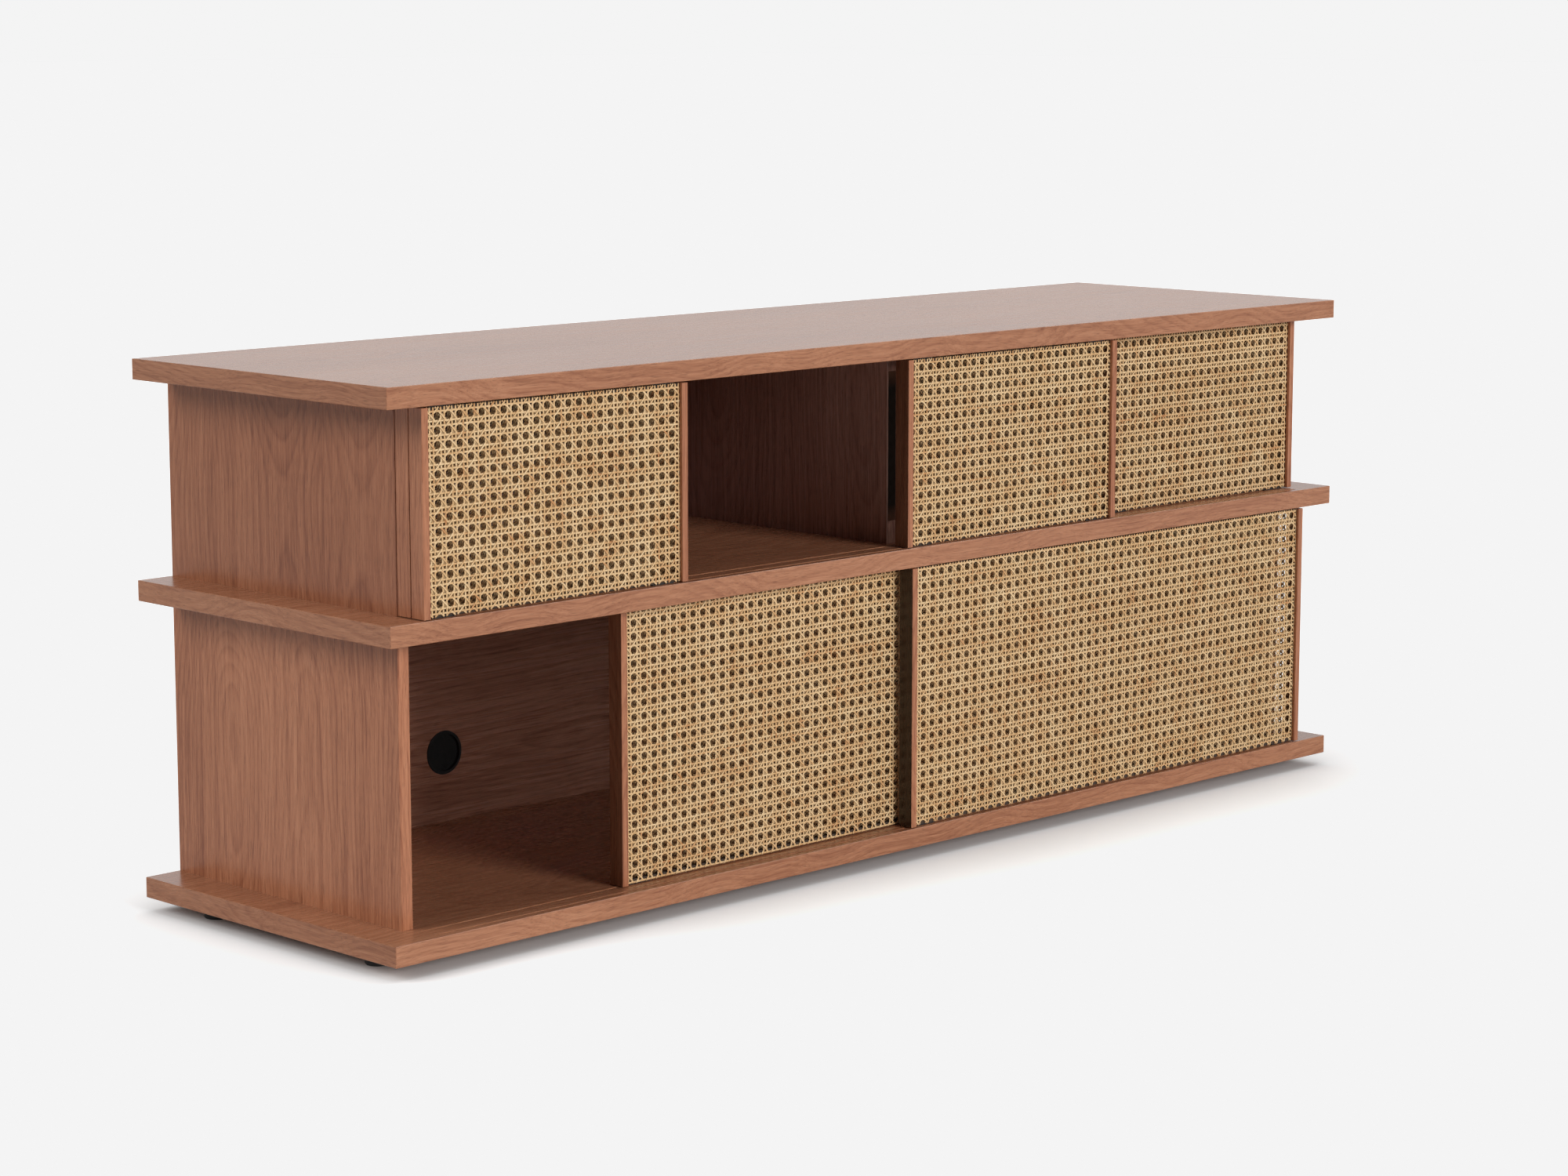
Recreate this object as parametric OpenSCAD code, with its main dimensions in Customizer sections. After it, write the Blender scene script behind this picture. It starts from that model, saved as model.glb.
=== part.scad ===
// Low media cabinet: three long boards carry two tiers of sliding cane doors.
// Origin: centre of the footprint, at floor level. +X runs to the right, +Y to the back, +Z up.

/* [Cabinet] */
// Overall length, left to right
cabinet_w = 1800; // [1500:10:2400]
// Overall depth, front to back
cabinet_d = 500; // [400:10:600]
// Thickness of the three long boards
board_t = 26.2; // [26:0.1:34]
// Clear height of the lower tier
lower_h = 354.5; // [280:0.5:450]
// Clear height of the upper tier
upper_h = 252; // [240:1:350]
// How far the boards run past the sides at each end
overhang = 53; // [40:1:120]
// Thickness of the sides and dividers
upright_t = 17; // [16:0.5:20]
// Chamfer on the boards' and stiles' outer edges
ease = 0.6; // [0.2:0.1:1.5]

/* [Doors] */
// Thickness of a door, over its stiles
door_t = 24; // [22:0.5:30]
// Face width of a stile
stile_w = 10; // [9:0.5:30]
// Height of the hidden metal rails that join the stiles
rail_h = 5; // [5:0.5:12]
// How far the cane lies behind the stiles' faces
cane_recess = 4.5; // [2:0.5:5]
// Thickness of a woven cane sheet
cane_t = 2; // [1:0.1:2.5]
// Gap between a door's two cane sheets
cane_gap = 5.7; // [5.3:0.1:8]
// How far neighbouring upper doors lap each other when all are closed
upper_lap = 2; // [0:0.5:20]
// How far the two lower doors lap each other when both are closed
lower_lap = 6; // [0:0.5:40]
// Distance from the boards' front edge to the front doors' faces
door_setback = 2.5; // [1:0.5:20]
// Gap between the two tracks' doors, and between the rear doors and the uprights
track_gap = 1.5; // [1:0.5:4]
// Gap under a door
gap_below = 1.2; // [0.8:0.1:3]
// Gap over a door
gap_above = 2.2; // [1:0.1:4]

/* [Where the doors stand] */
// Upper left doors, distance from their left stop
upper_left_slide = 0; // [0:1:100]
// Upper right front door, how far its left end passes the middle of the cabinet
upper_right_front_past_middle = 21.5; // [0:0.5:22]
// Upper right rear door, distance from its right stop
upper_right_rear_slide = 5.5; // [0:0.5:100]
// Lower front door, distance from its right stop
lower_front_slide = 8.8; // [0:0.1:300]
// Lower rear door, distance from its left stop
lower_rear_slide = 333.9; // [0:0.1:600]

/* [Back and cable ports] */
// Thickness of the back panels
back_t = 8; // [6:0.5:10]
// Distance from the back edge to the back panels
back_inset = 10; // [8:1:40]
// Outer diameter of a cable port's flange
port_flange_d = 60; // [50:1:90]
// Height of the ports' centres above the bottom board
port_z = 94.8; // [60:1:180]
// Diameter of the mouth in a port's rubber membrane
port_mouth_d = 18; // [10:1:30]

/* [Feet] */
// Height of the feet
foot_h = 18; // [12:1:60]
// Diameter of the feet
foot_d = 32; // [24:1:50]
// Distance from a board's end to the centre of the end feet
foot_end_inset = 44; // [30:1:120]
// Distance from the front and back edges to the feet's centres
foot_edge_inset = 89; // [40:1:150]

/* [Hidden] */
$fn = 64;
e = 0.01;

// Heights
lower_z = foot_h + board_t;
middle_z = lower_z + lower_h;
upper_z = middle_z + board_t;
top_z = upper_z + upper_h;

// Plan
front_y = -cabinet_d / 2;
back_y = cabinet_d / 2;
side_x = cabinet_w / 2 - overhang;
span = 2 * side_x;
front_track_y = front_y + door_setback;
rear_track_y = front_track_y + door_t + track_gap;
upright_y = rear_track_y + door_t + track_gap;
panel_y = back_y - back_inset - back_t;
side_centre_x = side_x - upright_t / 2;
inner_x = side_x - upright_t;

// Back panel grooves
panel_bite = 4.8;
panel_groove = 5;
panel_play = 0.1;

// Doors
upper_door_w = (span + 3 * upper_lap) / 4;
lower_door_w = (span + lower_lap) / 2;
cane_margin = 0.5;
cane_bite = 3;
back_cane_y = cane_recess + cane_t + cane_gap;
core_y = cane_recess + cane_t + cane_gap / 2;
tenon_l = 6;
tenon_t = 5;
tenon_shoulder = 1;

// Tracks and the glides that run in them
groove_w = 4;
floor_groove = 5;
ceiling_groove = 10;
glide_t = 3.4;
glide_l = 36;
glide_inset = 18;
glide_socket = 3;
glide_drop = 4.8;
guide_rise = 6;
groove_play = 0.5;
groove_x = side_x - glide_inset + groove_play;

// Pile strip on the dividers' front edges
pile_w = 13.5;
pile_l = 200;
pile_bite = 2;
pile_proud = 0.7;
pile_from_top = 21;

// Joints between the uprights and the boards
dowel_d = 8;
dowel_in_board = 11;
dowel_in_upright = 19;
hole_play = 0.1;
dowel_ys = [upright_y + 40, back_y - 80];
bolt_ys = [upright_y + 72, back_y - 112];
cam_d = 15;
cam_depth = 12.6;
cam_z = 24;
bolt_in_board = 11;
bolt_r = 3;
bolt_thread_r = 2.5;
bolt_neck_r = 2;
bolt_head_r = 3.4;
bolt_neck_z = 20;
bolt_head_z = 22.5;
bolt_end_z = 25.5;

// Cable ports
port_x = side_x / 2;
port_ring = 3;
port_flange_t = 1.5;
port_tail = 1;
membrane_t = 2;
membrane_y = panel_y + 3;

// Feet
stud_d = 6;
stud_l = 14;
foot_pad_ease = 1.5;

// Each upright: centre along X, lower end, upper end, and the side its cams open on
LOWER = [[-side_centre_x, lower_z, middle_z, 1], [0, lower_z, middle_z, 1],
         [side_centre_x, lower_z, middle_z, -1]];
UPPER = [[-side_centre_x, upper_z, top_z, 1], [0, upper_z, top_z, 1],
         [side_centre_x, upper_z, top_z, -1]];

// Each door: name, left end, front face, bottom, width, height
upper_door_h = upper_h - gap_below - gap_above;
lower_door_h = lower_h - gap_below - gap_above;
upper_door_z = upper_z + gap_below;
lower_door_z = lower_z + gap_below;
DOORS = [
    ["upper_left_front_door", -side_x + upper_left_slide, front_track_y,
     upper_door_z, upper_door_w, upper_door_h],
    ["upper_left_rear_door", -side_x + upper_left_slide, rear_track_y,
     upper_door_z, upper_door_w, upper_door_h],
    ["upper_right_front_door", -upper_right_front_past_middle, front_track_y,
     upper_door_z, upper_door_w, upper_door_h],
    ["upper_right_rear_door", side_x - upper_door_w - upper_right_rear_slide, rear_track_y,
     upper_door_z, upper_door_w, upper_door_h],
    ["lower_front_door", side_x - lower_door_w - lower_front_slide, front_track_y,
     lower_door_z, lower_door_w, lower_door_h],
    ["lower_rear_door", -side_x + lower_rear_slide, rear_track_y,
     lower_door_z, lower_door_w, lower_door_h]];
DOOR_PIECES = ["left_stile", "right_stile", "top_rail", "bottom_rail",
               "front_cane", "back_cane", "glides"];

// ---- shared shapes ----

// Corner points of a w by d rectangle whose corners are cut back by c
function eased(w, d, c) = [
    [c, 0], [w - c, 0], [w, c], [w, d - c], [w - c, d], [c, d], [0, d - c], [0, c]];

// A box with a small chamfer on all twelve edges
module eased_box(w, d, h, c) {
    intersection() {
        linear_extrude(h) polygon(eased(w, d, c));
        translate([0, d, 0]) rotate([90, 0, 0]) linear_extrude(d) polygon(eased(w, h, c));
        rotate([90, 0, 90]) linear_extrude(w) polygon(eased(d, h, c));
    }
}

// Puts its children at every end of the given uprights: +Z runs into the upright
module at_ends(uprights, ys) {
    for (u = uprights)
        for (y = ys) {
            translate([u[0], y, u[1]]) scale_x(u[3]) children();
            translate([u[0], y, u[2]]) mirror([0, 0, 1]) scale_x(u[3]) children();
        }
}

// Mirrors its children left to right where side is -1
module scale_x(side) {
    mirror([side < 0 ? 1 : 0, 0, 0]) children();
}

module dowel(play = 0) {
    translate([0, 0, -dowel_in_board - play])
        cylinder(h = dowel_in_board + dowel_in_upright + 2 * play, d = dowel_d + 2 * play);
}

module bolt(play = 0) {
    rotate_extrude() polygon([
        [0, -bolt_in_board - play], [bolt_thread_r + play, -bolt_in_board - play],
        [bolt_thread_r + play, 0], [bolt_r + play, 0],
        [bolt_r + play, bolt_neck_z], [bolt_neck_r, bolt_neck_z],
        [bolt_neck_r, bolt_head_z], [bolt_head_r, bolt_head_z],
        [bolt_head_r, bolt_end_z], [0, bolt_end_z]]);
}

// Room for a bolt on its way to its cam
module bolt_bore() {
    translate([0, 0, -bolt_in_board - hole_play])
        cylinder(h = bolt_in_board + hole_play + e, r = bolt_thread_r + hole_play);
    cylinder(h = cam_z, r = bolt_head_r + hole_play);
}

// A cam lies across the upright and opens on the face towards +X
module cam(play = 0) {
    translate([upright_t / 2 - cam_depth - play, 0, cam_z])
        rotate([0, 90, 0]) cylinder(h = cam_depth + play, d = cam_d + 2 * play);
}

module cam_slots() {
    slot_w = 1.2;
    slot_l = 7;
    slot_deep = 2;
    translate([upright_t / 2 - slot_deep, 0, cam_z])
        for (turn = [0, 90])
            rotate([turn, 0, 0]) translate([0, -slot_l / 2, -slot_w / 2])
                cube([slot_deep + 1, slot_l, slot_w]);
}

// ---- carcass ----

module board_blank(z) {
    translate([-cabinet_w / 2, front_y, z]) eased_box(cabinet_w, cabinet_d, board_t, ease);
}

// Both door grooves, from z upward
module track_grooves(z, deep) {
    for (y = [front_track_y, rear_track_y])
        translate([-groove_x, y + core_y - groove_w / 2, z])
            cube([2 * groove_x, groove_w, deep]);
}

// The groove that holds a back panel, from z upward
module panel_groove_cut(z) {
    translate([-inner_x - panel_groove, panel_y - panel_play, z])
        cube([2 * (inner_x + panel_groove), back_t + 2 * panel_play, panel_groove + e]);
}

// Grooves and holes in a board's top face, which is at z
module floor_cuts(z, uprights) {
    track_grooves(z - floor_groove, floor_groove + e);
    panel_groove_cut(z - panel_groove);
    at_ends(uprights, dowel_ys) dowel(hole_play);
    at_ends(uprights, bolt_ys) bolt_bore();
}

// Grooves and holes in a board's underside, which is at z
module ceiling_cuts(z, uprights) {
    track_grooves(z - e, ceiling_groove + e);
    panel_groove_cut(z - e);
    at_ends(uprights, dowel_ys) dowel(hole_play);
    at_ends(uprights, bolt_ys) bolt_bore();
}

module top_board() {
    color("#a8765b") difference() {
        board_blank(top_z);
        ceiling_cuts(top_z, UPPER);
    }
}

module middle_board() {
    color("#a8765b") difference() {
        board_blank(middle_z);
        floor_cuts(upper_z, UPPER);
        ceiling_cuts(middle_z, LOWER);
    }
}

module bottom_board() {
    color("#a8765b") difference() {
        board_blank(foot_h);
        floor_cuts(lower_z, LOWER);
        foot_places() stud(hole_play);
    }
}

// An upright board from its front edge to y1, drilled for its dowels, bolts and cams
module upright(u, y1) {
    height = u[2] - u[1];
    depth = y1 - upright_y;
    difference() {
        translate([u[0] - upright_t / 2, upright_y, u[1]]) linear_extrude(height)
            polygon([[ease, 0], [upright_t - ease, 0], [upright_t, ease],
                     [upright_t, depth], [0, depth], [0, ease]]);
        at_ends([u], dowel_ys) dowel(hole_play);
        at_ends([u], bolt_ys) {
            bolt_bore();
            cam(hole_play);
        }
    }
}

module side(u) {
    color("#8a5a45") difference() {
        upright(u, back_y);
        translate([-inner_x - panel_groove, panel_y - panel_play, u[1] - e])
            cube([2 * (inner_x + panel_groove), back_t + 2 * panel_play, u[2] - u[1] + 2 * e]);
    }
}

module divider(u) {
    color("#8a5a45") difference() {
        upright(u, panel_y);
        pile_place(u, pile_bite + e, hole_play);
    }
}

module back_panel(z0, z1) {
    translate([-inner_x - panel_bite, panel_y, z0 - panel_bite])
        cube([2 * (inner_x + panel_bite), back_t, z1 - z0 + 2 * panel_bite]);
}

module upper_back_panel() {
    color("#7a4d38") back_panel(upper_z, top_z);
}

module lower_back_panel() {
    color("#7a4d38") difference() {
        back_panel(lower_z, middle_z);
        ports() cylinder(h = 2 * back_t, d = port_sleeve_d() + 2 * hole_play);
    }
}

// A strip standing on a divider's front edge, sunk into it by deep
module pile_place(u, deep, play) {
    translate([u[0] - pile_w / 2 - play, upright_y, u[2] - pile_from_top - pile_l - play])
        translate([0, deep - pile_bite - pile_proud, 0])
            cube([pile_w + 2 * play, pile_bite + pile_proud, pile_l + 2 * play]);
}

module divider_pile_strips() {
    color("#151515") for (u = [LOWER[1], UPPER[1]]) pile_place(u, pile_bite, 0);
}

// ---- cable ports ----

// Puts its children at both ports, with +Z running to the back from the panel's front face
module ports() {
    for (x = [-port_x, port_x])
        translate([x, panel_y, lower_z + port_z]) rotate([-90, 0, 0])
            translate([0, 0, -e]) children();
}

function port_sleeve_d() = port_flange_d - 2 * port_ring;
function port_bore_d() = port_sleeve_d() - 2;

module port_ring_shape() {
    rotate_extrude() polygon([
        [port_bore_d() / 2, -port_flange_t + e], [port_flange_d / 2 - ease, -port_flange_t + e],
        [port_flange_d / 2, -port_flange_t + ease], [port_flange_d / 2, e],
        [port_sleeve_d() / 2, e], [port_sleeve_d() / 2, back_t + port_tail],
        [port_bore_d() / 2, back_t + port_tail]]);
}

module cable_port_rings() {
    color("#101010") ports() port_ring_shape();
}

module cable_port_membranes() {
    color("#080808") ports() translate([0, 0, membrane_y - panel_y]) difference() {
        cylinder(h = membrane_t, d = port_bore_d() - 2 * hole_play);
        translate([0, 0, -1]) cylinder(h = membrane_t + 2, d = port_mouth_d);
    }
}

// ---- feet ----

module foot_places() {
    end_x = cabinet_w / 2 - foot_end_inset;
    edge_y = cabinet_d / 2 - foot_edge_inset;
    for (x = [-end_x, 0, end_x])
        for (y = [-edge_y, edge_y]) translate([x, y, 0]) children();
}

module stud(play = 0) {
    translate([0, 0, foot_h - e]) cylinder(h = stud_l + play + e, d = stud_d + 2 * play);
}

module feet() {
    color("#141414") foot_places() {
        rotate_extrude() polygon([
            [0, 0], [foot_d / 2 - foot_pad_ease, 0], [foot_d / 2, foot_pad_ease],
            [foot_d / 2, foot_h], [0, foot_h]]);
        stud();
    }
}

// ---- fittings ----

module dowels() {
    color("#d8b98a") at_ends(concat(LOWER, UPPER), dowel_ys) dowel();
}

module cam_locks() {
    color("#a9abad") at_ends(concat(LOWER, UPPER), bolt_ys) difference() {
        cam();
        bolt_bore();
        translate([0, 0, cam_z - e]) cylinder(h = bolt_end_z - cam_z + 1, r = bolt_head_r + hole_play);
        cam_slots();
    }
}

module cam_bolts() {
    color("#c9c9c4") at_ends(concat(LOWER, UPPER), bolt_ys) bolt();
}

// ---- doors ----

// A stile at the door's left end; the cane sheets and rails let into its right face
module stile(h) {
    difference() {
        linear_extrude(h) polygon(eased(stile_w, door_t, ease));
        for (y = [cane_recess, back_cane_y])
            translate([stile_w - cane_bite, y, cane_margin])
                cube([cane_bite + e, cane_t, h - 2 * cane_margin]);
        for (z = [cane_margin, h - cane_margin - rail_h])
            translate([stile_w - tenon_l, core_y - tenon_t / 2, z + tenon_shoulder])
                cube([tenon_l + e, tenon_t, rail_h - 2 * tenon_shoulder]);
    }
}

// A rail with a tenon at each end and two sockets for glides; socket_z is their lower end
module rail(w, socket_z) {
    difference() {
        union() {
            translate([stile_w, cane_recess + cane_t, 0]) cube([w - 2 * stile_w, cane_gap, rail_h]);
            translate([stile_w - tenon_l, core_y - tenon_t / 2, tenon_shoulder])
                cube([w - 2 * stile_w + 2 * tenon_l, tenon_t, rail_h - 2 * tenon_shoulder]);
        }
        for (x = [glide_inset, w - glide_inset - glide_l])
            translate([x, core_y - glide_t / 2, socket_z]) cube([glide_l, glide_t, glide_socket + e]);
    }
}

module cane_sheet(w, h) {
    translate([stile_w - cane_bite, 0, cane_margin])
        cube([w - 2 * (stile_w - cane_bite), cane_t, h - 2 * cane_margin]);
}

// A flat fin with cut-back corners, standing on its edge
module glide(height) {
    translate([0, core_y + glide_t / 2, 0]) rotate([90, 0, 0]) linear_extrude(glide_t)
        polygon(eased(glide_l, height, ease));
}

module glides(w, h) {
    bottom = -gap_below - glide_drop;
    bottom_top = cane_margin + glide_socket;
    guide_bottom = h - bottom_top;
    for (x = [glide_inset, w - glide_inset - glide_l]) {
        translate([x, 0, bottom]) glide(bottom_top - bottom);
        translate([x, 0, guide_bottom]) glide(h + gap_above + guide_rise - guide_bottom);
    }
}

module door_piece(door, piece) {
    w = door[4];
    h = door[5];
    translate([door[1], door[2], door[3]]) {
        if (piece == "left_stile")
            color("#a06a50") stile(h);
        if (piece == "right_stile")
            color("#a06a50") translate([w, 0, 0]) mirror([1, 0, 0]) stile(h);
        if (piece == "top_rail")
            color("#1c1714") translate([0, 0, h - cane_margin - rail_h]) rail(w, rail_h - glide_socket);
        if (piece == "bottom_rail")
            color("#1c1714") translate([0, 0, cane_margin]) rail(w, -e);
        if (piece == "front_cane")
            color("#d9c08e") translate([0, cane_recess, 0]) cane_sheet(w, h);
        if (piece == "back_cane")
            color("#c9ab74") translate([0, back_cane_y, 0]) cane_sheet(w, h);
        if (piece == "glides")
            color("#161616") glides(w, h);
    }
}

top_board();
middle_board();
bottom_board();
side(UPPER[0]);  // upper_left_side
side(UPPER[2]);  // upper_right_side
side(LOWER[0]);  // lower_left_side
side(LOWER[2]);  // lower_right_side
divider(UPPER[1]);  // upper_divider
divider(LOWER[1]);  // lower_divider
upper_back_panel();
lower_back_panel();
divider_pile_strips();
cable_port_rings();
cable_port_membranes();
feet();
dowels();
cam_locks();
cam_bolts();
for (d = DOORS)
    for (p = DOOR_PIECES)
        door_piece(d, p);
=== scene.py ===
"""Media cabinet with sliding cane doors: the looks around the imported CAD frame. Metres, Z up."""
import math
import random

import bpy
import numpy as np
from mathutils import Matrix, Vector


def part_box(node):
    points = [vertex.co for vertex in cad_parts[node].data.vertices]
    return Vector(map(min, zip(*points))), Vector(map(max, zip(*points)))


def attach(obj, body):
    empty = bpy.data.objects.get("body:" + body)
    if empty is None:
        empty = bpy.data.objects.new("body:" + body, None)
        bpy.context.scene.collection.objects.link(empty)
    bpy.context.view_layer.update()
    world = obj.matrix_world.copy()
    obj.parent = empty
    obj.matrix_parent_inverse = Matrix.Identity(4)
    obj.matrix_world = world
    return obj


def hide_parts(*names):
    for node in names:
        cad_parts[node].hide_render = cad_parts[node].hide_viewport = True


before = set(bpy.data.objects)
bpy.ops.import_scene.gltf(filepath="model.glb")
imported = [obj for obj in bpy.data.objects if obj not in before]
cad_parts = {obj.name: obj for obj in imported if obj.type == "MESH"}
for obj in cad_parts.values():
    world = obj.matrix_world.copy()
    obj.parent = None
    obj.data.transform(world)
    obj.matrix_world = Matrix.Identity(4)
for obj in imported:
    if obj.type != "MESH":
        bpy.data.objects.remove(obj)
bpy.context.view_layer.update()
MM = 0.001


# ---------------------------------------------------------------- node and object helpers

class Tree:
    """A short way to write a node tree."""

    def __init__(self, tree):
        self.tree = tree
        tree.nodes.clear()

    def add(self, kind, **inputs):
        node = self.tree.nodes.new(kind)
        for name, value in inputs.items():
            self.put(node.inputs[name.replace("_", " ")], value)
        return node

    def put(self, socket, value):
        """Links a node or a socket, or sets a plain value."""
        if isinstance(value, bpy.types.Node):
            value = value.outputs[0]
        if isinstance(value, bpy.types.NodeSocket):
            self.tree.links.new(value, socket)
        else:
            socket.default_value = value

    def link(self, a, b):
        self.tree.links.new(a, b)

    def math(self, operation, a, b=None, c=None):
        node = self.tree.nodes.new("ShaderNodeMath")
        node.operation = operation
        for socket, value in zip(node.inputs, (a, b, c)):
            if value is not None:
                self.put(socket, value)
        return node.outputs[0]

    def vary(self, level, value, amount, middle=0.5):
        """The level, moved by how far the value is from its middle."""
        return self.math("MULTIPLY_ADD", self.math("SUBTRACT", value, middle), amount, level)

    def ramp(self, fac, stops):
        node = self.tree.nodes.new("ShaderNodeValToRGB")
        self.put(node.inputs["Fac"], fac)
        while len(node.color_ramp.elements) < len(stops):
            node.color_ramp.elements.new(0.5)
        for element, (place, colour) in zip(node.color_ramp.elements, stops):
            element.position = place
            element.color = (*colour, 1)
        return node.outputs["Color"]

    def mix(self, fac, a, b, blend="MIX"):
        node = self.tree.nodes.new("ShaderNodeMix")
        node.data_type = "RGBA"
        node.blend_type = blend
        self.put(node.inputs["Factor"], fac)
        self.put(node.inputs[6], a)
        self.put(node.inputs[7], b)
        return node.outputs[2]

    def either(self, second, a, b):
        """The number a, or b where second is 1."""
        node = self.add("ShaderNodeMix", Factor=second)
        self.put(node.inputs[2], a)
        self.put(node.inputs[3], b)
        return node.outputs[0]

    def vector(self, x, y, z=0.0):
        return self.add("ShaderNodeCombineXYZ", X=x, Y=y, Z=z).outputs[0]

    def parts(self, vector):
        return self.add("ShaderNodeSeparateXYZ", Vector=vector).outputs

    def place(self):
        """The place in the object."""
        return self.add("ShaderNodeTexCoord").outputs["Object"]

    def normal(self, axis):
        return self.parts(self.add("ShaderNodeNewGeometry").outputs["Normal"])[axis]

    def scaled(self, vector, scale, shift=(0, 0, 0)):
        node = self.add("ShaderNodeMapping", Vector=vector, Scale=scale, Location=shift)
        return node.outputs[0]

    def noise(self, vector, scale, detail=2.0, rough=0.5):
        node = self.add("ShaderNodeTexNoise", Vector=vector, Scale=scale, Detail=detail,
                        Roughness=rough)
        return node.outputs["Fac"]

    def bump(self, height, strength, distance):
        node = self.add("ShaderNodeBump", Height=height, Strength=strength, Distance=distance)
        return node.outputs[0]


def new_material(name):
    """A tree with a Principled shader, bsdf, linked to its output, out."""
    material = bpy.data.materials.new(name)
    material.use_nodes = True
    t = Tree(material.node_tree)
    t.material = material
    t.bsdf = t.add("ShaderNodeBsdfPrincipled")
    t.out = t.add("ShaderNodeOutputMaterial")
    t.link(t.bsdf.outputs[0], t.out.inputs["Surface"])
    return t


def new_object(name, data):
    obj = bpy.data.objects.new(name, data)
    bpy.context.scene.collection.objects.link(obj)
    return obj


# ---------------------------------------------------------------- camera, light and floor

CAMERA_PLACE = (-3.5507, -3.5444, 1.1352)
CAMERA_HEADING = -45.0
CAMERA_DOWN = 8.98
LENS_MM = 84.63
SENSOR_MM = 36.0
CLIP_END = 300.0

FLOOR_SIZE = 120.0
FLOOR_ALBEDO = 0.72
FLOOR_GLOW = 0.72
# The floor's painted contact shadow: how far it reaches and how steeply it falls
PAINTED_SHADOW_REACH = 0.24
PAINTED_SHADOW_FALL = 1.6
FLOOR_SAMPLES = 32
BACKDROP = 0.905
SKY_LEVEL = 0.05
GLOSS_LEVEL = 0.12
GLOSS_FROM = 0.75

# Lamps: level, spread, height above the horizon, and turn from the front towards the left,
# the last three in degrees
LAMPS = {
    "front": (2.40, 26.0, 16.0, -5.0),
    "left": (1.78, 36.0, 35.0, 112.0),
    "right": (0.50, 30.0, 50.0, -85.0),
}


def grey(level):
    return (level, level, level, 1)


def camera():
    data = bpy.data.cameras.new("camera")
    data.lens = LENS_MM
    data.sensor_width = SENSOR_MM
    data.clip_end = CLIP_END
    obj = new_object("camera", data)
    obj.location = CAMERA_PLACE
    obj.rotation_euler = (math.radians(90 - CAMERA_DOWN), 0, math.radians(CAMERA_HEADING))
    bpy.context.scene.camera = obj


def sky():
    """A plain pale backdrop. Gloss meets it only towards the back right, and is dim elsewhere;
    the lamps give nearly all of the light."""
    world = bpy.data.worlds.new("studio")
    bpy.context.scene.world = world
    world.use_nodes = True
    t = Tree(world.node_tree)
    path = t.add("ShaderNodeLightPath")
    way = t.parts(t.add("ShaderNodeTexCoord").outputs["Generated"])
    toward = t.math("ADD", way["X"], way["Y"])
    dim, bright = (GLOSS_LEVEL,) * 3, (BACKDROP,) * 3
    screen = t.ramp(toward, [(0.0, dim), (GLOSS_FROM, dim), (1.0, bright)])
    light = t.add("ShaderNodeBackground", Color=grey(SKY_LEVEL))
    gloss = t.add("ShaderNodeBackground", Color=screen)
    seen = t.add("ShaderNodeBackground", Color=grey(BACKDROP))
    first = t.add("ShaderNodeMixShader", Fac=path.outputs["Is Glossy Ray"])
    t.link(light.outputs[0], first.inputs[1])
    t.link(gloss.outputs[0], first.inputs[2])
    second = t.add("ShaderNodeMixShader", Fac=path.outputs["Is Camera Ray"])
    t.link(first.outputs[0], second.inputs[1])
    t.link(seen.outputs[0], second.inputs[2])
    out = t.add("ShaderNodeOutputWorld")
    t.link(second.outputs[0], out.inputs["Surface"])


def lamps():
    """Wide soft suns."""
    for name, (level, spread, height, turn) in LAMPS.items():
        data = bpy.data.lights.new(name, "SUN")
        data.energy = level
        data.angle = math.radians(spread)
        obj = new_object(name, data)
        obj.rotation_euler = (math.radians(90 - height), 0, math.radians(-turn))


def backdrop_tone():
    """Plain colours, with everything brighter than the backdrop brought down to it."""
    view = bpy.context.scene.view_settings
    view.view_transform = "Standard"
    view.use_curve_mapping = True
    curve = view.curve_mapping.curves[3]
    curve.points.new(BACKDROP, BACKDROP)
    curve.points[-1].location = (1.0, BACKDROP)
    for point in curve.points:
        point.handle_type = "VECTOR"
    view.curve_mapping.extend = "HORIZONTAL"
    view.curve_mapping.update()


def floor():
    """A pale floor. For the camera it also glows up to the backdrop's tone. Close to the cabinet,
    where less of the sky is open, that glow fades: a painted contact shadow over the real shadow
    the lamps cast."""
    mesh = bpy.data.meshes.new("floor")
    half = FLOOR_SIZE / 2
    mesh.from_pydata([(-half, -half, 0), (half, -half, 0), (half, half, 0), (-half, half, 0)],
                     [], [(0, 1, 2, 3)])
    obj = new_object("floor", mesh)
    t = new_material("floor")
    t.bsdf.inputs["Base Color"].default_value = grey(FLOOR_ALBEDO)
    t.bsdf.inputs["Roughness"].default_value = 1.0
    t.bsdf.inputs["Specular IOR Level"].default_value = 0.0
    open_sky = t.add("ShaderNodeAmbientOcclusion", Distance=PAINTED_SHADOW_REACH)
    open_sky.samples = FLOOR_SAMPLES
    seen = t.add("ShaderNodeLightPath").outputs["Is Camera Ray"]
    # Painted contact shadow: the glow fades where the cabinet closes off the sky
    painted_shadow = t.math("POWER", open_sky.outputs["AO"], PAINTED_SHADOW_FALL)
    glow = t.math("MULTIPLY", painted_shadow, FLOOR_GLOW)
    shine = t.add("ShaderNodeEmission", Strength=t.math("MULTIPLY", glow, seen))
    both = t.add("ShaderNodeAddShader")
    t.link(t.bsdf.outputs[0], both.inputs[0])
    t.link(shine.outputs[0], both.inputs[1])
    t.link(both.outputs[0], t.out.inputs["Surface"])
    mesh.materials.append(t.material)


# ---------------------------------------------------------------- wood

WALNUT_DARK = (0.222, 0.072, 0.034)
WALNUT_MID = (0.380, 0.150, 0.075)
WALNUT_LIGHT = (0.490, 0.214, 0.115)
WALNUT_STOPS = (0.12, 0.5, 0.88)
WALNUT_ROUGH = 0.27
ROUGH_STREAK = 0.10
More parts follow.
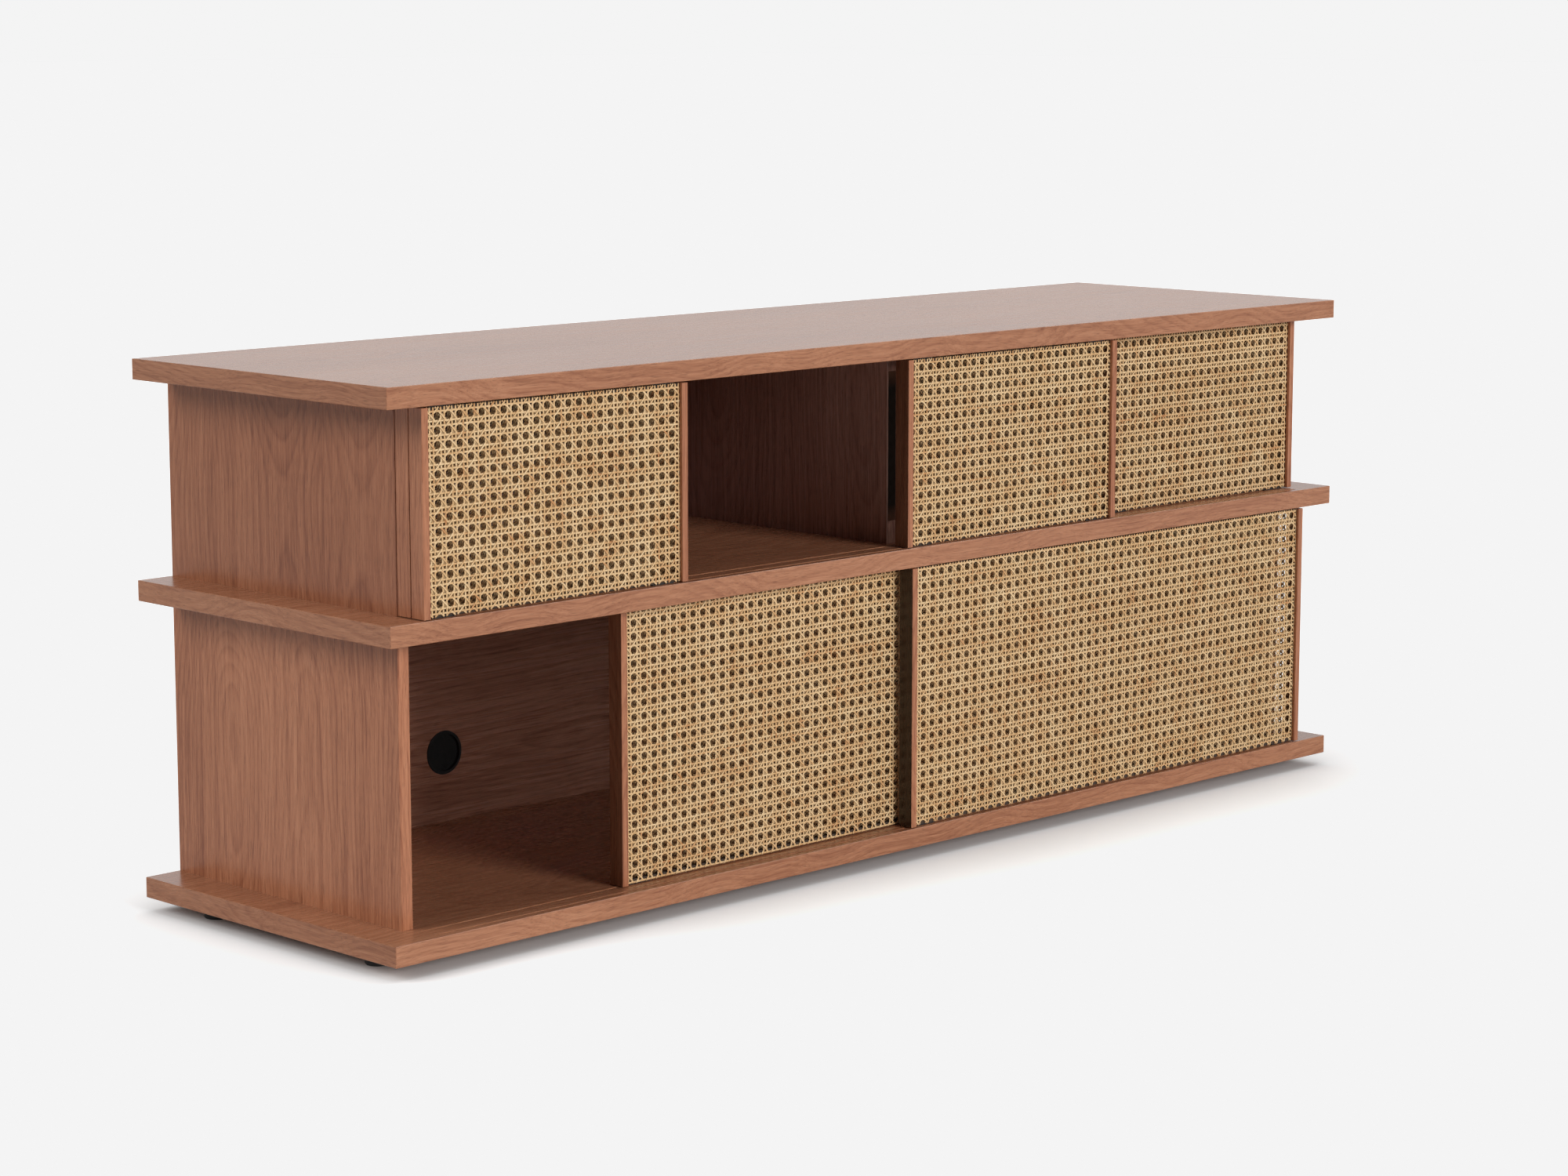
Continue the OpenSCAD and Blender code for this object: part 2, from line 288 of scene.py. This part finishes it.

# Factors on the walnut's colour; the sides', dividers' and backs' are painted light and shade
BOARD_TONE = (1.08, 1.17, 1.22)
UPPER_SIDE_PAINTED_SHADE = (0.90, 0.86, 0.84)
LOWER_SIDE_PAINTED_LIGHT = (1.14, 1.14, 1.14)
DIVIDER_PAINTED_LIGHT = (0.88, 1.12, 1.65)
UPPER_BACK_PAINTED_SHADE = (0.34, 0.50, 0.95)
LOWER_BACK_PAINTED_LIGHT = (0.98, 1.15, 1.50)
STILE_TONE = (1.1, 1.1, 1.1)
BEECH_TONE = (1.8, 2.4, 2.8)

# Painted shade: how much of their colour the left edge faces of these doors keep
PAINTED_SHADE_LEFT_EDGES = {"upper_right_front_door": 0.5, "lower_rear_door": 0.55, "lower_front_door": 0.08}
LEFT_FACE = -0.9
END_FACE = 0.7

# The noises of the figure: scale per metre along the grain and twice across it, shift, detail
# and roughness
GRAIN = {
    "sway": ((1.1, 4.0, 4.0), 0.0, 2.0, 0.5),
    "wander": ((2.3, 7.0, 7.0), 3.1, 2.0, 0.5),
    "deep": ((1.7, 1.0, 1.0), 7.7, 1.0, 0.5),
    "streaks": ((2.4, 120.0, 120.0), 0.0, 3.0, 0.6),
    "lines": ((5.0, 430.0, 430.0), 1.3, 2.0, 0.6),
    "fibres": ((22.0, 900.0, 900.0), 0.0, 2.0, 0.6),
    "pores": ((55.0, 1500.0, 1500.0), 0.0, 1.0, 0.5),
}
BEND_SCALE = (4.0, 1.5, 1.5)

# Growth rings: a leaf's half width, the rings' spacing, the heart's place in a leaf, how far
# it wanders, and how deep the cut runs below it
LEAF = 0.22
RING = 0.0075
HEART = 0.35
HEART_WANDER = 0.06
CUT_SPAN = 0.28
CUT_LOW = -0.09
RING_SWAY = 2.0
RING_STOPS = ((0.0, 0.45), (0.12, 0.9), (0.6, 0.6), (0.92, 0.0), (1.0, 0.45))

# How strongly each part of the figure moves the shade
RING_DEPTH = 0.24
RING_MIDDLE = 0.55
STREAK_DEPTH = 0.75
LINE_DEPTH = 0.60
SWAY_DEPTH = 0.55
FIBRE_DEPTH = 0.75
PORE_STOPS = ((0.0, 1), (0.33, 1), (0.42, 0), (1.0, 0))
PORE_DEPTH = 0.42
PORE_SHADE = 0.5
FIBRE_RELIEF = 0.4
WOOD_BUMP = 0.06
BUMP_DEPTH = 0.2 * MM


def grey_stops(stops):
    return [(place, (level,) * 3) for place, level in stops]


def grain_place(t, along, end_along):
    """The place in the object, with the grain's axis first."""
    axis = t.parts(t.place())
    grain = axis[along]
    across = [axis[a] for a in "XYZ" if a != along]
    if end_along:
        on_end = t.math("GREATER_THAN", t.math("ABSOLUTE", t.normal(along)), END_FACE)
        grain = t.either(on_end, grain, axis[end_along])
        across[0] = t.either(on_end, across[0], 0.0)
    return t.vector(grain, *across)


def bent_place(t, straight, meander):
    """The place, pushed aside by up to about meander as the grain bends."""
    bend = t.noise(t.scaled(straight, BEND_SCALE), 1.0, 1.0)
    bend = t.math("MULTIPLY", t.math("SUBTRACT", bend, 0.5), 2.0 * meander)
    bent = t.add("ShaderNodeVectorMath")
    bent.operation = "ADD"
    t.put(bent.inputs[0], straight)
    t.put(bent.inputs[1], t.vector(0.0, bend, bend))
    return bent.outputs[0]


def growth_rings(t, place, noise):
    """Rings round a heart that rises and sinks along the grain, so that arches show."""
    parts = t.parts(place)
    breadth = t.math("ADD", parts["Y"], parts["Z"])
    breadth = t.math("MULTIPLY_ADD", noise["wander"], HEART_WANDER, breadth)
    leaf = t.math("SUBTRACT", t.math("PINGPONG", breadth, LEAF), HEART * LEAF)
    depth = t.math("MULTIPLY_ADD", noise["deep"], CUT_SPAN, CUT_LOW)
    square = t.math("ADD", t.math("POWER", leaf, 2.0), t.math("POWER", depth, 2.0))
    sway = t.math("MULTIPLY", noise["sway"], RING_SWAY)
    ring = t.math("FRACT", t.math("MULTIPLY_ADD", t.math("SQRT", square), 1 / RING, sway))
    return t.ramp(ring, grey_stops(RING_STOPS))


def wood(name, along, shift, tone_and_shade=(1.0, 1.0, 1.0), figure=1.0, meander=0.006, end_along=None,
         painted_left_shade=1.0):
    """Lacquered walnut veneer. along is the axis of the grain; end_along is the grain's axis on
    faces that face along it, where an edge band is wrapped round a board's end. The last argument,
    below 1, darkens faces towards -X as painted shade."""
    t = new_material(name)
    straight = t.scaled(grain_place(t, along, end_along), (1, 1, 1), shift)
    place = bent_place(t, straight, meander)
    noise = {part: t.noise(t.scaled(place, scale, (offset, 0, 0)), 1.0, detail, rough)
             for part, (scale, offset, detail, rough) in GRAIN.items()}
    pores = t.ramp(noise["pores"], grey_stops(PORE_STOPS))

    level = t.vary(0.5, growth_rings(t, place, noise), RING_DEPTH * figure, RING_MIDDLE)
    level = t.vary(level, noise["streaks"], STREAK_DEPTH * figure)
    level = t.vary(level, noise["lines"], LINE_DEPTH * figure)
    level = t.vary(level, noise["sway"], SWAY_DEPTH)
    level = t.vary(level, noise["fibres"], FIBRE_DEPTH * figure)
    shades = [tuple(k * c for k, c in zip(tone_and_shade, colour))
              for colour in (WALNUT_DARK, WALNUT_MID, WALNUT_LIGHT)]
    colour = t.ramp(level, list(zip(WALNUT_STOPS, shades)))
    in_pores = (*[c * PORE_SHADE for c in shades[0]], 1)
    colour = t.mix(t.math("MULTIPLY", pores, PORE_DEPTH), colour, in_pores)
    # Painted shade on the faces towards -X
    if painted_left_shade < 1:
        left_shade_mask = t.math("LESS_THAN", t.normal("X"), LEFT_FACE)
        colour = t.mix(left_shade_mask, colour, grey(painted_left_shade), "MULTIPLY")
    t.put(t.bsdf.inputs["Base Color"], colour)
    t.put(t.bsdf.inputs["Roughness"], t.vary(WALNUT_ROUGH, noise["streaks"], ROUGH_STREAK))
    relief = t.math("SUBTRACT", t.math("MULTIPLY", noise["fibres"], FIBRE_RELIEF), pores)
    t.put(t.bsdf.inputs["Normal"], t.bump(relief, WOOD_BUMP, BUMP_DEPTH))
    return t.material


# ---------------------------------------------------------------- plain materials

SPECK_STOPS = (0.3, 0.7)
BLACK_SHADES = (0.8, 1.2)
BLACK_BUMP = 0.1

# Pile strips: the heights of their middles, half their length, and how far the painted light at
# their ends reaches
PILE_MIDDLES = (0.2777, 0.5559)
PILE_HALF = 0.1
PILE_FADE = 0.022
PILE_BLACK = (0.022, 0.016, 0.013)
PILE_END_PAINTED_LIGHT = (0.11, 0.05, 0.03)
TUFT_SCALE = 1600.0
TUFT_DEPTH = 0.5
TUFT_BUMP = 0.5
TUFT_RELIEF = 0.3 * MM

METAL_SCALE = 900.0
METAL_SHADE = 0.85
METAL_ROUGH = 0.15


def specked(colour, shades):
    return [(stop, [k * c for c in colour]) for stop, k in zip(SPECK_STOPS, shades)]


def black(name, colour, rough, grain_scale):
    t = new_material(name)
    speck = t.noise(t.place(), grain_scale)
    t.put(t.bsdf.inputs["Base Color"], t.ramp(speck, specked(colour, BLACK_SHADES)))
    t.bsdf.inputs["Roughness"].default_value = rough
    t.put(t.bsdf.inputs["Normal"], t.bump(speck, BLACK_BUMP, BUMP_DEPTH))
    return t.material


def pile():
    """Black pile on the dividers' front edges, which turns brown towards its ends: painted bounce
    light.
    """
    t = new_material("pile_black")
    place = t.place()
    height = t.parts(place)["Z"]
    from_middle = [t.math("ABSOLUTE", t.math("SUBTRACT", height, z)) for z in PILE_MIDDLES]
    nearest = t.math("MINIMUM", *from_middle)
    # Painted light: brown towards the ends, where bounce light falls
    pile_level = t.vary(1.0, nearest, 1 / PILE_FADE, PILE_HALF)
    tufts = t.noise(place, TUFT_SCALE)
    pile_level = t.vary(pile_level, tufts, TUFT_DEPTH)
    t.put(t.bsdf.inputs["Base Color"], t.ramp(pile_level, [(0.0, PILE_BLACK), (1.0, PILE_END_PAINTED_LIGHT)]))
    t.bsdf.inputs["Roughness"].default_value = 1.0
    t.bsdf.inputs["Specular IOR Level"].default_value = 0.05
    t.put(t.bsdf.inputs["Normal"], t.bump(tufts, TUFT_BUMP, TUFT_RELIEF))
    return t.material


def metal(name, colour, rough):
    t = new_material(name)
    speck = t.noise(t.place(), METAL_SCALE)
    t.put(t.bsdf.inputs["Base Color"], t.ramp(speck, specked(colour, (METAL_SHADE, 1.0))))
    t.bsdf.inputs["Metallic"].default_value = 1.0
    t.put(t.bsdf.inputs["Roughness"], t.math("MULTIPLY_ADD", speck, METAL_ROUGH, rough))
    return t.material


CANE_PALE = (0.820, 0.588, 0.330)
CANE_STRAW = (0.685, 0.428, 0.198)
CANE_BURNT = (0.500, 0.190, 0.055)
CANE_STOPS = (0.15, 0.55, 0.95)
CANE_LEVEL = 0.42
CANE_ROUGH = 0.5
CANE_BUMP = 0.25

# Fibres: how fast they change across and along a strand, and from strand to strand
FIBRE_SCALES = (5.0, 60.0, 90.0)
BURN_SCALES = (28.0, 70.0)
CLOUD_SCALE = 22.0

# How strongly a strand's own tone, its burnt stretches, the sheet's clouds and the fibres
# move the shade
OWN_DEPTH = 0.25
BURN_DEPTH = 1.5
CLOUD_DEPTH = 0.8
FINE_DEPTH = 0.5


def cane_material():
    """Split rattan: each strand has its own tone, fine fibres along it and darker burnt
    stretches. The mesh attribute "fibre" holds the place across and along a strand, and its
    tone."""
    t = new_material("cane")
    fibre = t.add("ShaderNodeAttribute")
    fibre.attribute_name = "fibre"
    parts = t.parts(fibre.outputs["Vector"])
    across, along, own = parts[0], parts[1], parts[2]
    fine = t.noise(t.vector(*[t.math("MULTIPLY", part, scale) for part, scale
                              in zip((across, along, own), FIBRE_SCALES)]), 1.0)
    patch = t.noise(t.vector(*[t.math("MULTIPLY", part, scale) for part, scale
                               in zip((along, own), BURN_SCALES)]), 1.0, 3.0, 0.65)
    cloud = t.noise(t.place(), CLOUD_SCALE, 3.0, 0.6)
    level = t.vary(CANE_LEVEL, own, OWN_DEPTH)
    level = t.vary(level, patch, BURN_DEPTH)
    level = t.vary(level, cloud, CLOUD_DEPTH)
    level = t.vary(level, fine, FINE_DEPTH)
    t.put(t.bsdf.inputs["Base Color"],
          t.ramp(level, list(zip(CANE_STOPS, (CANE_PALE, CANE_STRAW, CANE_BURNT)))))
    t.bsdf.inputs["Roughness"].default_value = CANE_ROUGH
    t.put(t.bsdf.inputs["Normal"], t.bump(fine, CANE_BUMP, BUMP_DEPTH))
    return t.material


# ---------------------------------------------------------------- woven cane

PITCH = 17.05 * MM
PAIR = 2.8 * MM
STRAND_W = 2.8 * MM
DIAGONAL_W = 2.7 * MM
STRAND_T = 0.46 * MM
WEAVE = 0.24 * MM
DIAGONAL_LIFT = 0.50 * MM
CROSS_HALF = 2.2 * MM
NEAR = 1e-6

# A strand's section: places across it, in widths, and heights, in thicknesses
SECTION_ACROSS = (-0.5, -0.24, 0.24, 0.5)
SECTION_HEIGHT = (-0.30, 0.50, 0.50, -0.30)

# A strand this close to an edge, in widths, or a diagonal this short, in pitches, is left out
EDGE_STRAND = 0.2
SHORT_DIAGONAL = 0.15

FIRST_SEED = 100

# Where the first hole's centre lies in each door, from the door's left and top edges
FIRST_HOLE = {
    "upper_left_front_door": (27.5 * MM, 11.3 * MM),
    "upper_left_rear_door": (27.0 * MM, 12.5 * MM),
    "upper_right_front_door": (30.0 * MM, 11.3 * MM),
    "upper_right_rear_door": (26.0 * MM, 11.3 * MM),
    "lower_front_door": (27.8 * MM, 9.2 * MM),
    "lower_rear_door": (25.6 * MM, 19.7 * MM),
}


def breakpoints(start, end, places, heights):
    """The points where a strand bends between start and end, and its height at each."""
    order = np.argsort(places)
    places, heights = places[order], heights[order]
    inside = (places > start + NEAR) & (places < end - NEAR)
    path = np.concatenate([[start], places[inside], [end]])
    return path, np.interp(path, places, heights)


class Weave:
    """Collects strands as closed four-sided bars with a rounded outer face."""

    def __init__(self, rng):
        self.points, self.quads, self.fibres, self.count, self.rng = [], [], [], 0, rng

    def strand(self, start, direction, path, rise, width):
        """Adds a strand from start, which rises by rise at each place along its path."""
        direction = np.array(direction)
        side = np.array((-direction[1], direction[0]))
        centre = np.array(start)[None, :] + path[:, None] * direction[None, :]
        section_u = np.array(SECTION_ACROSS) * width
        section_n = np.array(SECTION_HEIGHT) * STRAND_T
        plane = centre[:, None, :] + section_u[None, :, None] * side[None, None, :]
        height = rise[:, None] + section_n[None, :]
        block = np.stack([plane[..., 0], height, plane[..., 1]], -1).reshape(-1, 3)
        n = len(path)
        own = self.rng.random()
        fibre = np.stack([np.tile(section_u / width + 0.5, n), np.repeat(path, 4) + own,
                          np.full(4 * n, own)], -1)
        step = (np.arange(n - 1) * 4)[:, None]
        for a, b in ((0, 1), (1, 2), (2, 3), (3, 0)):
            self.quads.append(self.count + step + np.array((a, b, b + 4, a + 4))[None, :])
        last = self.count + 4 * (n - 1)
        self.quads.append(self.count + np.array([[3, 2, 1, 0]]))
        self.quads.append(last + np.array([[0, 1, 2, 3]]))
        self.points.append(block)
        self.fibres.append(fibre)
        self.count += 4 * n

    def mesh(self, name, outward):
        """All strands as one mesh, with the rounded faces towards outward along Y."""
        points = np.concatenate(self.points)
        quads = np.concatenate(self.quads)
        points[:, 1] *= outward
        if outward > 0:
            quads = quads[:, ::-1]
        mesh = bpy.data.meshes.new(name)
        mesh.vertices.add(len(points))
        mesh.vertices.foreach_set("co", points.astype(np.float32).ravel())
        mesh.loops.add(4 * len(quads))
        mesh.loops.foreach_set("vertex_index", quads.astype(np.int32).ravel())
        mesh.polygons.add(len(quads))
        starts = np.arange(0, 4 * len(quads), 4, dtype=np.int32)
        mesh.polygons.foreach_set("loop_start", starts)
        mesh.polygons.foreach_set("use_smooth", np.ones(len(quads), bool))
        mesh.update(calc_edges=True)
        fibres = mesh.attributes.new("fibre", "FLOAT_VECTOR", "POINT")
        fibres.data.foreach_set("vector", np.concatenate(self.fibres).astype(np.float32).ravel())
        mesh.validate()
        return mesh


def pair_centres(first, length):
    """Every place first + k * PITCH within the length, and up to a pitch past both ends."""
    k0 = math.ceil((-PITCH - first) / PITCH)
    k1 = math.floor((length + PITCH - first) / PITCH)
    return first + PITCH * np.arange(k0, k1 + 1)


def straight_strands(weave, places, length, breadth, crossed, lifts, upright):
    """Strands across the whole sheet, at these places, that bend at each crossed pair."""
    offsets = np.array((-PAIR, PAIR, PITCH / 2 - CROSS_HALF, PITCH / 2 + CROSS_HALF))
    bends = (crossed[:, None] + offsets[None, :]).ravel()
    heights = np.tile(lifts, len(crossed))
    for place in places:
        if EDGE_STRAND * STRAND_W < place < breadth - EDGE_STRAND * STRAND_W:
            path, rise = breakpoints(0.0, length, bends, heights)
            start, direction = ((place, 0), (0, 1)) if upright else ((0, place), (1, 0))
            weave.strand(start, direction, path, rise, STRAND_W)


def diagonals(weave, w, h, hole_x, hole_z, slope, pair_xs):
    """The strands that run at 45 degrees round the holes: rising ones go over the level pairs."""
    root2 = math.sqrt(2)
    level = hole_z + PITCH / 2 - slope * hole_x
    reach = int((w + h) / PITCH + 2)
    over_uprights = DIAGONAL_LIFT if slope < 0 else -DIAGONAL_LIFT
    crossings = np.concatenate([pair_xs, pair_xs + PITCH / 2])
    lifts = np.repeat((over_uprights, -over_uprights), len(pair_xs))
    bends = np.concatenate([crossings - PAIR, crossings + PAIR])
    heights = np.concatenate([lifts, lifts])
    for k in range(-reach, reach + 1):
        c = level + k * PITCH
        x_ends = sorted(((0 - c) / slope, (h - c) / slope))
        x0, x1 = max(0.0, x_ends[0]), min(w, x_ends[1])
        if x1 - x0 < SHORT_DIAGONAL * PITCH:
            continue
        xs, rise = breakpoints(x0, x1, bends, heights)
        weave.strand((x0, slope * x0 + c), (1 / root2, slope / root2), (xs - x0) * root2, rise,
                     DIAGONAL_W)


def weave_sheet(name, w, h, hole_x, hole_z, outward, rng):
    """A sheet of radio weave, w by h, with hole centres at (hole_x, hole_z) plus whole pitches."""
    weave = Weave(rng)
    pair_xs = pair_centres(hole_x + PITCH / 2, w)
    pair_zs = pair_centres(hole_z + PITCH / 2, h)
    for sign in (-1, 1):
        lifts = np.array((-sign, sign, 0, 0)) * WEAVE
        straight_strands(weave, pair_xs + sign * PAIR, h, w, pair_zs, lifts, True)
        straight_strands(weave, pair_zs + sign * PAIR, w, h, pair_xs, -lifts, False)
    for slope in (1, -1):
        diagonals(weave, w, h, hole_x, hole_z, slope, pair_xs)
    return weave.mesh(name, outward)


def cane_sheets():
    material = cane_material()
    for number, (door, (from_left, from_top)) in enumerate(FIRST_HOLE.items()):
        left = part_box(door + "_left_stile")[0].x
        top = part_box(door + "_left_stile")[1].z
        for face, outward in (("front_cane", -1), ("back_cane", 1)):
            node = f"{door}_{face}"
            low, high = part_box(node)
            w, h = high.x - low.x, high.z - low.z
            hole_x = (left + from_left - low.x) % PITCH
            hole_z = (top - from_top - low.z) % PITCH
            rng = random.Random(FIRST_SEED + 2 * number + (outward > 0))
            mesh = weave_sheet(node + "_weave", w, h, hole_x, hole_z, outward, rng)
            mesh.materials.append(material)
            piece = new_object(node + "_weave", mesh)
            piece.location = (low.x, (low.y + high.y) / 2, low.z)
            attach(piece, door)
            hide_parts(node)


# ---------------------------------------------------------------- brushes in the cable ports

BRISTLES = 120
BRISTLE_ROWS = 3
BRISTLE_BUTT = 1.5 * MM
BRISTLE_TIP = 0.16 * MM
BRISTLE_T = 0.4 * MM
BRISTLE_TURN = 0.01
BRISTLE_SEED = 7

# A bristle's root, as a part of the port's radius, and its tip's distance from the centre
ROOT_AT = 0.998
TIP_AT = (0.2, 2.0)

# The faces of a bar whose corners are four at the root and then four at the tip
BAR_FACES = ((0, 1, 2, 3), (7, 6, 5, 4), (4, 5, 1, 0), (5, 6, 2, 1), (6, 7, 3, 2), (7, 4, 0, 3))


def port_brushes(material):
    """Rows of tapered bristles that stand round each port's wall and meet in its mouth."""
    low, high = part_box("cable_port_membranes")
    radius = (high.z - low.z) / 2
    middle_z = (high.z + low.z) / 2
    rng = random.Random(BRISTLE_SEED)
    points, faces = [], []
    for x in (low.x + radius, high.x - radius):
        for row in range(BRISTLE_ROWS):
            y = low.y + (high.y - low.y) * (row + 0.5) / BRISTLE_ROWS
            for k in range(BRISTLES):
                angle = (2 * math.pi * (k + row / BRISTLE_ROWS) / BRISTLES
                         + rng.uniform(-BRISTLE_TURN, BRISTLE_TURN))
                cos, sin = math.cos(angle), math.sin(angle)
                root = (radius * ROOT_AT, BRISTLE_BUTT / 2, BRISTLE_T / 2)
                tip = (rng.uniform(*TIP_AT) * MM, BRISTLE_TIP / 2, BRISTLE_TIP / 2)
                first = len(points)
                for r, half_w, half_t in (root, tip):
                    for w, d in ((-half_w, -half_t), (half_w, -half_t), (half_w, half_t),
                                 (-half_w, half_t)):
                        points.append((x + r * cos - w * sin, y + d,
                                       middle_z + r * sin + w * cos))
                faces += [tuple(first + i for i in quad) for quad in BAR_FACES]
    mesh = bpy.data.meshes.new("port_brushes")
    mesh.from_pydata(points, [], faces)
    mesh.materials.append(material)
    piece = new_object("port_brushes", mesh)
    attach(piece, "carcass")
    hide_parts("cable_port_membranes")


# ---------------------------------------------------------------- materials on the CAD nodes

def dress(node, material):
    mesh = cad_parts[node].data
    mesh.materials.clear()
    mesh.materials.append(material)


def dress_wood():
    """Every board has a shift of its own, so that no two show the same stretch of wood."""
    for n, node in enumerate(("top_board", "middle_board", "bottom_board")):
        dress(node, wood("walnut_" + node, "X", (0.7 * n, 0.31 * n, 0.13 * n), BOARD_TONE,
                         figure=0.8, meander=0.03, end_along="Y"))
    # The sides', dividers' and back panels' factors are painted light and shade, not the veneer's
    # own colour
    uprights = {"upper_left_side": UPPER_SIDE_PAINTED_SHADE, "upper_right_side": UPPER_SIDE_PAINTED_SHADE,
                "lower_left_side": LOWER_SIDE_PAINTED_LIGHT, "lower_right_side": LOWER_SIDE_PAINTED_LIGHT,
                "upper_divider": DIVIDER_PAINTED_LIGHT, "lower_divider": DIVIDER_PAINTED_LIGHT}
    for n, (node, tone_and_shade) in enumerate(uprights.items()):
        dress(node, wood("walnut_" + node, "Z", (0.9 * n, 0.23 * n, 0.37 * n), tone_and_shade))
    backs = {"upper_back_panel": UPPER_BACK_PAINTED_SHADE, "lower_back_panel": LOWER_BACK_PAINTED_LIGHT}
    for n, (node, tone_and_shade) in enumerate(backs.items()):
        dress(node, wood("walnut_" + node, "X", (0.5 * n, 0.4, 0.6 * n), tone_and_shade))
    for n, door in enumerate(FIRST_HOLE):
        for side, stile in enumerate(("left_stile", "right_stile")):
            node = f"{door}_{stile}"
            # Painted shade on some doors' left stiles
            painted_left_shade = 1.0 if side else PAINTED_SHADE_LEFT_EDGES.get(door, 1.0)
            dress(node, wood("walnut_" + node, "Z", (0.4 * n, 0.17 * side, 0.29 * n),
                             STILE_TONE, painted_left_shade=painted_left_shade))
    dress("dowels", wood("beech", "Z", (0, 0, 0), BEECH_TONE))


def dress_fittings():
    """Materials given by name, colour, roughness and, for the black ones, scale of grain."""
    rail = black("rail_brown", (0.050, 0.030, 0.018), 0.7, 400.0)
    glide = black("glide_black", (0.02, 0.02, 0.02), 0.45, 500.0)
    for door in FIRST_HOLE:
        dress(door + "_top_rail", rail)
        dress(door + "_bottom_rail", rail)
        dress(door + "_glides", glide)
    dress("divider_pile_strips", pile())
    dress("cable_port_rings", black("port_black", (0.003, 0.003, 0.003), 0.7, 800.0))
    port_brushes(black("bristle_black", (0.004, 0.004, 0.004), 0.8, 800.0))
    dress("feet", black("foot_black", (0.012, 0.012, 0.012), 0.5, 300.0))
    dress("cam_locks", metal("zinc_cast", (0.52, 0.52, 0.53), 0.40))
    dress("cam_bolts", metal("zinc_plated", (0.62, 0.61, 0.58), 0.25))


backdrop_tone()
camera()
sky()
lamps()
floor()
cane_sheets()
dress_wood()
dress_fittings()
